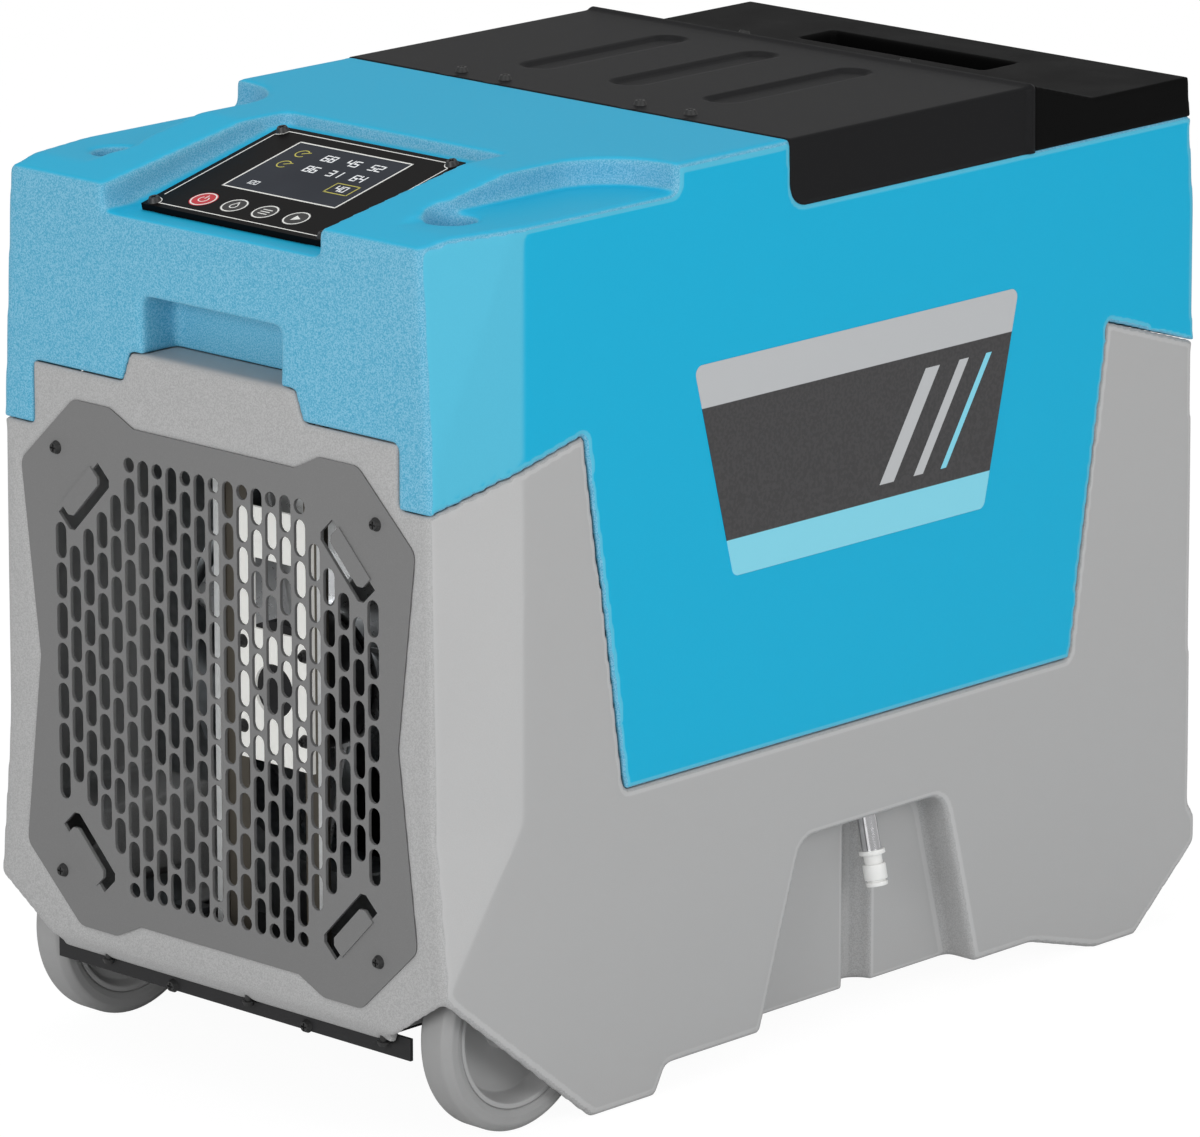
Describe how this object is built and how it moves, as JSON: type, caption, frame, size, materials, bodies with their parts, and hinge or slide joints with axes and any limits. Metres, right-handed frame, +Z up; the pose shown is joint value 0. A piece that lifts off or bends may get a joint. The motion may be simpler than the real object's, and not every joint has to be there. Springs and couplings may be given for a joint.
{
  "type": "portable dehumidifier",
  "caption": "Portable commercial dehumidifier: moulded casing on transport wheels, with a front air grille, a sloping keypad and display, a side drain outlet and grab recesses.",
  "frame": {"origin": "centre of the bounding box on the floor", "axes": "+X towards the side with the drain outlet, -Y out of the front grille, +Z up; the rear grille faces +Y"},
  "size_m": [0.3522, 0.6276, 0.5196],
  "materials": {
    "shell_grey": "fine speckled moulded polyethylene, light grey",
    "shell_blue": "fine speckled moulded polyethylene, blue",
    "grille_grey": "satin powder coat, mid grey",
    "black_screw": "black oxide",
    "steel": "zinc plated",
    "galvanised": "galvanised sheet",
    "cover_dark": "fine textured powder coat, dark grey",
    "cap_black": "fine grained, black",
    "panel_black": "printed film, satin",
    "window": "clear tinted",
    "lcd": "smooth",
    "board_green": "lacquered board",
    "key_red": "smooth, red",
    "key_black": "smooth, black",
    "plate_dark": "powder coat, dark grey",
    "tread": "grey soft rubber",
    "hub": "grey moulded",
    "chrome": "polished",
    "white_plastic": "smooth, white",
    "hose": "clear flexible tube",
    "dark_plastic": "moulded, dark",
    "filter_white": "pleated non-woven",
    "rubber_black": "plain",
    "black_paint": "gloss paint",
    "fin": "thin fins",
    "blade": "plain sheet",
    "plate_white": "gloss white paint",
    "copper": "plain copper tube",
    "decal": "printed film"
  },
  "bodies": {
    "cabinet": {"lower_shell": "shell_grey", "upper_shell": "shell_blue", "front_grille": "grille_grey", "grille_screws": "black_screw", "rear_grille": "grille_grey", "rear_grille_screws": "black_screw", "filter_frame": "dark_plastic", "filter_media": "filter_white", "top_cover": "cover_dark", "top_cover_screws": "black_screw", "rear_cap": "cap_black", "rear_cap_screws": "black_screw", "control_panel": "panel_black", "display_window": "window", "display_module": "lcd", "control_board": "board_green", "panel_screws": "black_screw", "base_plate": "plate_dark", "base_plate_screws": "steel", "stub_axles": "steel", "axle_brackets": "galvanised", "axle_nuts": "steel", "drain_fitting": "chrome", "drain_coupling": "white_plastic", "drain_hose": "hose", "condensate_pump": "dark_plastic", "drain_pan": "dark_plastic", "compressor": "black_paint", "compressor_feet": "rubber_black", "compressor_bolts": "steel", "evaporator": "fin", "condenser": "fin", "heat_exchanger": "fin", "coil_frame": "galvanised", "fan_shroud": "galvanised", "fan_motor": "black_paint", "motor_struts": "galvanised", "motor_plate": "plate_white", "motor_screws": "black_screw", "discharge_pipe": "copper", "suction_pipe": "copper", "liquid_line": "copper", "filter_drier": "copper", "electrical_box": "galvanised", "capacitor": "fin", "power_inlet": "dark_plastic", "side_decals": "decal"},
    "wheel_left": {"tyre_left": "tread", "hub_left": "hub"},
    "wheel_right": {"tyre_right": "tread", "hub_right": "hub"},
    "fan": {"fan_impeller": "blade"},
    "power_key": {"key_power": "key_red"},
    "purge_key": {"key_purge": "key_black"},
    "mode_key": {"key_mode": "key_black"},
    "next_key": {"key_next": "key_black"},
    "collar": {"release_collar": "white_plastic"}
  },
  "joints": [
    {"name": "wheel_left_spin", "type": "hinge", "parent": "cabinet", "child": "wheel_left", "pos_m": [-0.15, -0.242, 0.059], "axis": [1, 0, 0], "continuous": true},
    {"name": "wheel_right_spin", "type": "hinge", "parent": "cabinet", "child": "wheel_right", "pos_m": [0.15, -0.242, 0.059], "axis": [1, 0, 0], "continuous": true},
    {"name": "fan_spin", "type": "hinge", "parent": "cabinet", "child": "fan", "pos_m": [0, -0.217, 0.2206], "axis": [0, 1, 0], "continuous": true},
    {"name": "power_key_press", "type": "slide", "parent": "cabinet", "child": "power_key", "axis": [0, 0.2402, -0.9707], "range_m": [0, 0.0004], "stiffness_N_per_m": 900},
    {"name": "purge_key_press", "type": "slide", "parent": "cabinet", "child": "purge_key", "axis": [0, 0.2402, -0.9707], "range_m": [0, 0.0004], "stiffness_N_per_m": 900},
    {"name": "mode_key_press", "type": "slide", "parent": "cabinet", "child": "mode_key", "axis": [0, 0.2402, -0.9707], "range_m": [0, 0.0004], "stiffness_N_per_m": 900},
    {"name": "next_key_press", "type": "slide", "parent": "cabinet", "child": "next_key", "axis": [0, 0.2402, -0.9707], "range_m": [0, 0.0004], "stiffness_N_per_m": 900},
    {"name": "collar_release", "type": "slide", "parent": "cabinet", "child": "collar", "axis": [-0.2181, 0, 0.9759], "range_m": [0, 0.0015], "stiffness_N_per_m": 700}
  ]
}
